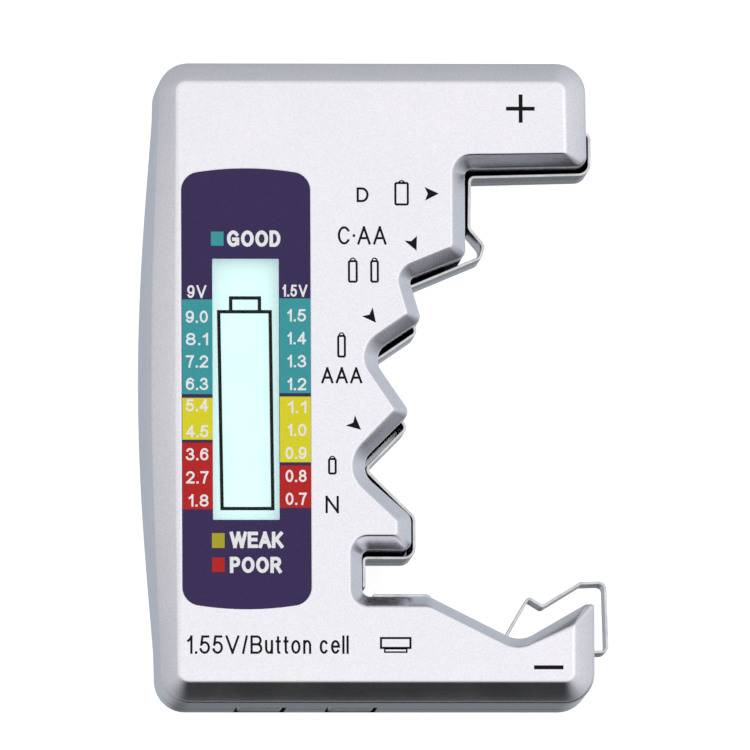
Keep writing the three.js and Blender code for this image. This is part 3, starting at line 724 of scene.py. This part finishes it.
piece("stepped_positive_strip", ribbon(POSITIVE_LINE, STRIP), nickel,
      stands_for=["positive_strip"])
piece("slot_negative_strip", ribbon(NEGATIVE_LINE, STRIP), nickel,
      stands_for=["negative_strip"])
piece("sprung_leaf", ribbon(LEAF_LINE, LEAF), nickel, body="sprung_contact",
      stands_for=["negative_spring"])
for side, centre in SNAP_CENTRES.items():
    piece(f"snap_contact_{side}", ribbon(snap_line(centre), SNAP), nickel,
          stands_for=[f"contact_9v_{side}"])


# Label and printing

LABEL_LOW = THICKNESS - LABEL_RECESS
LABEL_TOP = LABEL_LOW + LABEL_SHEET

# Letters as the pen moves: each has a width, in capital heights, and its strokes, in a box one wide and one
# high. A pair is a point, and six numbers are an elliptical arc: centre, two radii and two angles. A
# number alone is the height of a dot.
ROUND = [(0.5, 0.5, 0.5, 0.5, 0, 360)]
STEM = [(0, 0), (0, 1)]
LETTERS = {
    "0": (0.64, [ROUND]),
    "1": (0.34, [[(0, 0.74), (0.6, 0.84), (1, 1)], [(1, 1), (1, 0)]]),
    "2": (0.64, [[(0.5, 0.71, 0.5, 0.29, 170, -28), (0, 0)], [(0, 0), (1, 0)]]),
    "3": (0.64, [[(0.47, 0.76, 0.43, 0.24, 165, -90)], [(0.47, 0.26, 0.53, 0.26, 90, -165)]]),
    "4": (0.68, [[(0.74, 0), (0.74, 1)], [(0.74, 1), (0, 0.27)], [(0, 0.27), (1, 0.27)]]),
    "5": (0.64, [[(0.92, 1), (0.2, 1), (0.07, 0.5)], [(0.47, 0.32, 0.53, 0.32, 138, -160)]]),
    "6": (0.64, [[(0.5, 0.32, 0.5, 0.32, 0, 360)], [(0.55, 0.5, 0.55, 0.5, 42, 195)]]),
    "7": (0.62, [[(0, 1), (1, 1)], [(1, 1), (0.62, 0.55), (0.4, 0)]]),
    "8": (0.64, [[(0.5, 0.76, 0.43, 0.24, 0, 360)], [(0.5, 0.26, 0.5, 0.26, 0, 360)]]),
    "9": (0.64, [[(0.5, 0.68, 0.5, 0.32, 0, 360)], [(0.45, 0.5, 0.55, 0.5, 222, 375)]]),
    ".": (0.12, 0.0),
    "·": (0.12, 0.42),
    "/": (0.36, [[(0, 0), (1, 1)]]),
    "A": (0.88, [[(0, 0), (0.5, 1)], [(0.5, 1), (1, 0)], [(0.2, 0.33), (0.8, 0.33)]]),
    "B": (0.74, [STEM, [(0, 1), (0.55, 0.76, 0.38, 0.24, 90, -90), (0, 0.52)],
                 [(0.2, 0.52), (0.58, 0.26, 0.42, 0.26, 90, -90), (0, 0)]]),
    "C": (0.84, [[(0.5, 0.5, 0.5, 0.5, 38, 322)]]),
    "D": (0.78, [STEM, [(0, 1), (0.42, 0.5, 0.58, 0.5, 90, -90), (0, 0)]]),
    "E": (0.72, [STEM, [(0, 1), (1, 1)], [(0, 0.52), (0.92, 0.52)], [(0, 0), (1, 0)]]),
    "G": (0.9, [[(0.5, 0.5, 0.5, 0.5, 40, 325)], [(0.96, 0.12), (0.96, 0.45), (0.56, 0.45)]]),
    "K": (0.8, [STEM, [(0, 0.34), (0.93, 1)], [(0.32, 0.57), (1, 0)]]),
    "N": (0.78, [STEM, [(0, 1), (1, 0)], [(1, 0), (1, 1)]]),
    "O": (0.92, [ROUND]),
    "P": (0.74, [STEM, [(0, 1), (0.6, 0.735, 0.4, 0.265, 90, -90), (0, 0.47)]]),
    "R": (0.8, [STEM, [(0, 1), (0.56, 0.735, 0.38, 0.265, 90, -90), (0, 0.47)], [(0.5, 0.47), (1, 0)]]),
    "V": (0.86, [[(0, 1), (0.5, 0)], [(0.5, 0), (1, 1)]]),
    "W": (1.2, [[(0, 1), (0.25, 0)], [(0.25, 0), (0.5, 1)], [(0.5, 1), (0.75, 0)], [(0.75, 0), (1, 1)]]),
    "c": (0.54, [[(0.5, 0.36, 0.5, 0.36, 42, 318)]]),
    "e": (0.56, [[(0, 0.38), (1, 0.38)], [(0.5, 0.36, 0.5, 0.36, 3, 318)]]),
    "l": (0.1, [[(0.5, 0), (0.5, 1)]]),
    "n": (0.5, [[(0, 0), (0, 0.72)], [(0.5, 0.44, 0.5, 0.28, 180, 0), (1, 0)]]),
    "o": (0.58, [[(0.5, 0.36, 0.5, 0.36, 0, 360)]]),
    "t": (0.32, [[(0.42, 0.94), (0.78, 0.17, 0.36, 0.17, 180, 280)], [(0, 0.7), (1, 0.7)]]),
    "u": (0.5, [[(0, 0.72), (0.5, 0.28, 0.5, 0.28, 180, 360)], [(1, 0.72), (1, 0)]]),
    " ": (0.2, []),
}


def pen_line(stroke):
    """The points along a stroke in the letter's unit box, arcs worked out and repeats left out."""
    runs = []
    for item in stroke:
        if len(item) == 2:
            runs.append(np.array([item], dtype=float))
            continue
        x, y, wide, tall, start, end = item
        angle = np.radians(np.linspace(start, end, 17))
        runs.append(np.column_stack([x + wide * np.cos(angle), y + tall * np.sin(angle)]))
    line = np.concatenate(runs)
    apart = np.linalg.norm(np.diff(line, axis=0), axis=1) > 1e-6
    return line[np.concatenate([[True], apart])]


def lettering(text, x0, x1, y0, y1, low, pen, gap=0.16):
    """Letters drawn with a pen of even width, as solids, their ink filling the box x0, y0 to x1, y1.

    The letters' widths and the gaps between them are all stretched alike to fill the box's width. Each
    stroke of a letter lies a hair over the one before, so that no two faces share a place.
    """
    high = low + INK
    widths = [LETTERS[letter][0] for letter in text]
    each = (x1 - x0) / (sum(widths) + gap * (len(text) - 1))
    solids = []
    left = x0
    for letter, wide in zip(text, widths):
        right = left + wide * each
        strokes = LETTERS[letter][1]
        if isinstance(strokes, float):
            side = 1.1 * pen
            middle = (left + right - side) / 2
            foot = y0 + strokes * (y1 - y0)
            solids.append(block(middle, middle + side, foot, foot + side, low, high))
            strokes = []
        room = max(right - left - pen, 0)
        corner = np.array([(left + right - room) / 2, y0 + pen / 2])
        for i, stroke in enumerate(strokes):
            line = pen_line(stroke) * np.array([room, y1 - y0 - pen]) + corner
            draw = flat_stroke if np.linalg.norm(line[0] - line[-1]) > 1e-6 else ring_stroke
            solids.append(draw(line, pen, low + i * OVERLAY, high + i * OVERLAY))
        left = right + gap * each
    return together(solids)


def ring_stroke(line, pen, low, high):
    return band_along(line[:-1], pen, low, high)


def flat_stroke(line, pen, low, high):
    """A raised stroke along an open line: a rectangle carried along it, run on to square its ends."""
    ends = unit(np.array([line[0] - line[1], line[-1] - line[-2]])) * pen / 2
    line = np.concatenate([line[:1] + ends[:1], line[1:-1], line[-1:] + ends[1:]])
    normal = side_normals(line) * pen / 2
    corners = [(-normal, low), (normal, low), (normal, high), (-normal, high)]
    rings = [np.column_stack([line + shift, np.full(len(line), z)]) for shift, z in corners]
    return loft(np.stack(rings, axis=1))


def printed_label():
    made = piece("printed_scale_label", prism(label_outline(0), LABEL_LOW, LABEL_TOP), purple_ink,
                 stands_for=["scale_label"])
    carve(made, [("DIFFERENCE", [prism(rectangle(*WINDOW_VIEW, 0.15), LABEL_LOW - 1, LABEL_TOP + 1)])])
    shade(made, 28)


# Scale bands on the label: the ink's name, and the top and bottom of its left and right blocks
BAND_SIDES = ((3.36, 7.86), (17.78, 22.36))
BANDS = {
    "good": (teal_ink, ((59.63, 45.6), (59.8, 45.75))),
    "weak": (yellow_ink, ((45.04, 38.84), (45.24, 35.51))),
    "poor": (red_ink, ((38.38, 28.52), (35.03, 28.76))),
}
KEY_SQUARES = {"good": (teal_ink, 67.6, 69.7), "weak": (olive_ink, 22.8, 25), "poor": (red_ink, 19.25, 21.4)}


def printed_bands():
    for grade, (ink, blocks) in BANDS.items():
        solids = [block(*side, low, high, LABEL_TOP, LABEL_TOP + INK)
                  for side, (high, low) in zip(BAND_SIDES, blocks)]
        piece(f"{grade}_band_ink", together(solids), ink)
    for grade, (ink, low, high) in KEY_SQUARES.items():
        solid = block(7.68, 9.55, low, high, LABEL_TOP, LABEL_TOP + INK)
        piece(f"{grade}_key_ink", solid, ink)


NUMBER_HEIGHT = 1.82
NUMBER_PEN = 0.29
LEGEND_PEN = 0.52
FACE_PEN = 0.34
ICON_PEN = 0.32

# Columns of numbers: the ink's left and right edges, the first number and its step, and each run's top
# row, pitch and count
NUMBERS = (
    (3.91, 7.2, 9.0, -0.9, ((57.07, 3.32, 4), (43.93, 3.85, 2), (36.69, 3.43, 3))),
    (18.59, 21.7, 1.5, -0.1, ((57.29, 3.4, 9),)),
)


def printed_numbers():
    solids = []
    low = LABEL_TOP + INK
    for x0, x1, first, step, runs in NUMBERS:
        rows = [top - pitch * i for top, pitch, count in runs for i in range(count)]
        for i, y in enumerate(rows):
            half = NUMBER_HEIGHT / 2
            number = f"{first + step * i:.1f}"
            narrower = 0.35 if number[0] == "1" else 0
            solids.append(lettering(number, x0 + narrower, x1, y - half, y + half, low, NUMBER_PEN))
    solids += [
        lettering("9V", 4.15, 6.98, 59.85, 61.75, LABEL_TOP, NUMBER_PEN),
        lettering("1.5V", 18.24, 21.92, 60.06, 61.83, LABEL_TOP, NUMBER_PEN),
        lettering("GOOD", 10.05, 17.96, 67.45, 69.88, LABEL_TOP, LEGEND_PEN, 0.1),
        lettering("WEAK", 10.31, 18.24, 22.8, 25.22, LABEL_TOP, LEGEND_PEN, 0.04),
        lettering("POOR", 10.31, 17.96, 19.1, 21.5, LABEL_TOP, LEGEND_PEN, 0.1),
    ]
    piece("white_scale_ink", together(solids), white_ink)


# Outlines of cells beside their names: x and y from and to, and the top of the terminal
CELL_ICONS = (
    (34.83, 36.99, 73.6, 77.1, 77.5),
    (27.92, 29.38, 62.13, 65.5, 66),
    (31.22, 32.51, 62.13, 65.5, 66),
    (26.29, 27.59, 51.02, 54.4, 54.9),
    (24.87, 26.16, 33.68, 36.15, 36.6),
)

# Arrowheads that point into each notch: a tail, the notch in the tail, the other tail and the tip
ARROWS = (
    ((39.3, 76.37), (39.79, 75.38), (39.37, 74.33), (41.42, 75.38)),
    ((36.28, 68.41), (38.09, 66.9), (38.16, 69.12), (37.32, 68.32)),
    ((29.96, 57.17), (32.05, 56.21), (31.56, 58.5), (31.09, 57.41)),
    ((27.5, 40.95), (29.77, 40.33), (28.88, 42.49), (28.61, 41.38)),
)


def cell_icon(x0, x1, y0, y1, terminal):
    """A standing cell: an outline with a small arched terminal on top."""
    low, high = THICKNESS, THICKNESS + INK
    middle = (x0 + x1) / 2
    foot = y1 - ICON_PEN / 3
    reach = terminal - y1 - ICON_PEN / 3
    angle = np.linspace(0, np.pi, 9)
    arch = np.column_stack([middle + 0.38 * np.cos(angle), foot + reach * np.sin(angle)])
    body = rectangle(*grow(x0, x1, y0, y1, -ICON_PEN / 2), 0.2, 3)
    return [band_along(body, ICON_PEN, low, high), band_along(arch, ICON_PEN * 0.6, low, high)]


def printed_marks():
    """The black marks on the face: cell names and outlines, arrows to each notch, and the poles."""
    low, high = THICKNESS, THICKNESS + INK
    plus_and_minus = [(51.42, 55.67, 87.72, 88.3), (53.3, 53.88, 88.3, 90.12), (53.3, 53.88, 85.92, 87.72),
                      (55.2, 59.55, 4.86, 5.45)]
    solids = [block(*bar, low, high) for bar in plus_and_minus]
    solids += [
        lettering("D", 29.25, 31.03, 74.09, 76.29, low, FACE_PEN),
        lettering("C·AA", 26.44, 33.66, 67.8, 70.52, low, FACE_PEN),
        lettering("AAA", 23.92, 29.99, 47.21, 49.59, low, FACE_PEN),
        lettering("N", 24.48, 26.45, 27.97, 30.53, low, FACE_PEN),
        lettering("1.55V/Button cell", 3.95, 27.78, 7.13, 9.86, low, FACE_PEN),
    ]
    for icon in CELL_ICONS:
        solids += cell_icon(*icon)
    solids += [prism(np.array(arrow), low, high) for arrow in ARROWS]
    button_body = rectangle(32.6, 36.95, 8.02, 9.48)
    button_rim = rectangle(33.15, 36.4, 7.4, 7.9)
    solids += [band_along(button_body, ICON_PEN, low, high), band_along(button_rim, 0.24, low, high)]
    piece("black_face_ink", together(solids), black_ink)


def display_segments():
    """The cell outline on the display: a body and a cap, standing a little askew in the window."""
    line = 0.5
    half = line / 2
    foot, shoulder, tip = 28.57 + half, 58.26 - half, 60.3 - half
    body = np.array([(9.05 + half, foot), (17.05 - half, foot), (16.75 - half, shoulder),
                     (8.64 + half, shoulder)])
    cap = rectangle(10.42 + half, 15.17 - half, shoulder, tip)
    solids = [band_along(loop, line, level, level + INK)
              for loop, level in ((body, GLASS_TOP + INK), (cap, GLASS_TOP + 3 * INK))]
    piece("display_segments", together(solids), segment)


printed_label()
printed_bands()
printed_numbers()
printed_marks()
display_segments()


# Studio: a pale floor, a soft dome of light and the camera

def height_ramp(tree, height, stops, cool=0.0):
    """A level that follows a direction's height, from -1 to 1, through the stops; cooler lower down."""
    ramp = add_node(tree, "ShaderNodeValToRGB", {"Fac": scaled(tree, height, 0.0, 1.0, (-1.0, 1.0))})
    elements = ramp.color_ramp.elements
    while len(elements) < len(stops):
        elements.new(0.5)
    for element, (place, level) in zip(elements, stops):
        tint = cool * np.clip(0.5 - place, 0, 1)
        element.position = (place + 1) / 2
        element.color = (level * (1 - tint), level, level * (1 + tint), 1.0)
    return ramp.outputs["Color"]


def studio_dome():
    """Soft light from all round, brighter overhead and to the right, with a dim sector on the near side.

    The dome's level follows the height of the direction, times a level that follows its turn about z. The
    sector gives the near bevels and notches their dark reflection: its depth follows the height again, and
    it is the nearness to -y raised to a power, which is higher, and the sector narrower, above the horizon
    and on the left.
    """
    world = bpy.data.worlds.new("studio_dome")
    bpy.context.scene.world = world
    world.use_nodes = True
    tree = world.node_tree
    tree.nodes.clear()
    direction = add_node(tree, "ShaderNodeTexCoord").outputs["Generated"]
    x, y, z = add_node(tree, "ShaderNodeSeparateXYZ", {0: direction}).outputs
    ramp = height_ramp(tree, z, ((-1, 0.44), (-0.7, 0.5), (-0.35, 0.46), (0, 0.5), (0.15, 0.56), (0.3, 0.6),
                                 (0.5, 0.63), (0.7, 0.86), (1, 0.87)), cool=0.08)
    near_band = height_ramp(tree, z, ((-1, 0.74), (-0.88, 0.4), (-0.65, 0.8), (-0.35, 0.97), (-0.18, 0.95),
                                      (-0.1, 0.5), (0, 0.4), (0.08, 0.9), (0.14, 0.98), (0.62, 0.98),
                                      (0.78, 0.5), (0.92, 0)))
    flat = add_node(tree, "ShaderNodeCombineXYZ", {"X": x, "Y": y, "Z": 0.0}).outputs[0]
    round_side = add_node(tree, "ShaderNodeVectorMath", {0: flat}, operation="NORMALIZE").outputs[0]
    side_x, side_y, _ = add_node(tree, "ShaderNodeSeparateXYZ", {0: round_side}).outputs
    wide, narrow = 0.85, 4.0
    nearness = scaled(tree, side_y, 1.0, 0.0, (-1.0, 0.0))
    over_horizon = scaled(tree, z, wide, narrow, (-0.05, 0.15))
    on_left = scaled(tree, side_x, narrow, wide, (-0.5, 0.0))
    power = add_node(tree, "ShaderNodeMath", {0: over_horizon, 1: on_left}, operation="MAXIMUM").outputs[0]
    sector = add_node(tree, "ShaderNodeMath", {0: nearness, 1: power}, operation="POWER").outputs[0]
    shade_near = add_node(tree, "ShaderNodeMath", {0: sector, 1: near_band}, operation="MULTIPLY").outputs[0]
    near_level = add_node(tree, "ShaderNodeMath", {0: 1.0, 1: shade_near}, operation="SUBTRACT").outputs[0]
    side_level = height_ramp(tree, side_x, ((-1, 1.11), (0, 1.03), (1, 1.4)))
    level = add_node(tree, "ShaderNodeMath", {0: near_level, 1: side_level}, operation="MULTIPLY").outputs[0]
    dome = add_node(tree, "ShaderNodeBackground", {"Color": ramp, "Strength": level})
    backdrop = add_node(tree, "ShaderNodeBackground", {"Color": colour("#F7F7F9"), "Strength": 1.0})
    seen = add_node(tree, "ShaderNodeLightPath").outputs["Is Camera Ray"]
    mix = add_node(tree, "ShaderNodeMixShader", {0: seen, 1: dome.outputs[0], 2: backdrop.outputs[0]})
    output = add_node(tree, "ShaderNodeOutputWorld")
    tree.links.new(mix.outputs[0], output.inputs["Surface"])


def studio_floor():
    """A wide pale floor, kept out of the glossy reflections so that the dome alone shapes the metal."""
    reach = 8.0
    mesh = bpy.data.meshes.new("floor")
    corners = [(-reach, -reach, 0), (reach, -reach, 0), (reach, reach, 0), (-reach, reach, 0)]
    mesh.from_pydata(corners, [], [(0, 1, 2, 3)])
    floor = bpy.data.objects.new("floor", mesh)
    bpy.context.scene.collection.objects.link(floor)
    matt = surface("matt_white_sweep", "#C4C4C6", "#BEBEC0", 40.0, 0.8, 0.0)
    shader = matt.node_tree.nodes["Principled BSDF"]
    shader.inputs["Emission Color"].default_value = (1.0, 1.0, 1.0, 1.0)
    shader.inputs["Emission Strength"].default_value = 0.8
    mesh.materials.append(matt)
    floor.visible_glossy = False


def studio_camera():
    """A long lens over the face, a few degrees to the left of it and below it."""
    distance = 4.0
    field = 110.75 * MM
    face = Vector((-0.25 * MM, 0.95 * MM, THICKNESS * MM))
    away = Vector((-0.055, -0.092, 1)).normalized()
    lens = bpy.data.cameras.new("camera")
    lens.lens = lens.sensor_width * distance / field
    lens.clip_end = 50
    camera = bpy.data.objects.new("camera", lens)
    across = Vector((0.004, 1, 0)).cross(away).normalized()
    turn = Matrix((across, away.cross(across), away)).transposed()
    camera.matrix_world = Matrix.Translation(face + away * distance) @ turn.to_4x4()
    bpy.context.scene.collection.objects.link(camera)
    bpy.context.scene.camera = camera


studio_dome()
studio_floor()
studio_camera()
bpy.context.scene.view_settings.view_transform = "Standard"
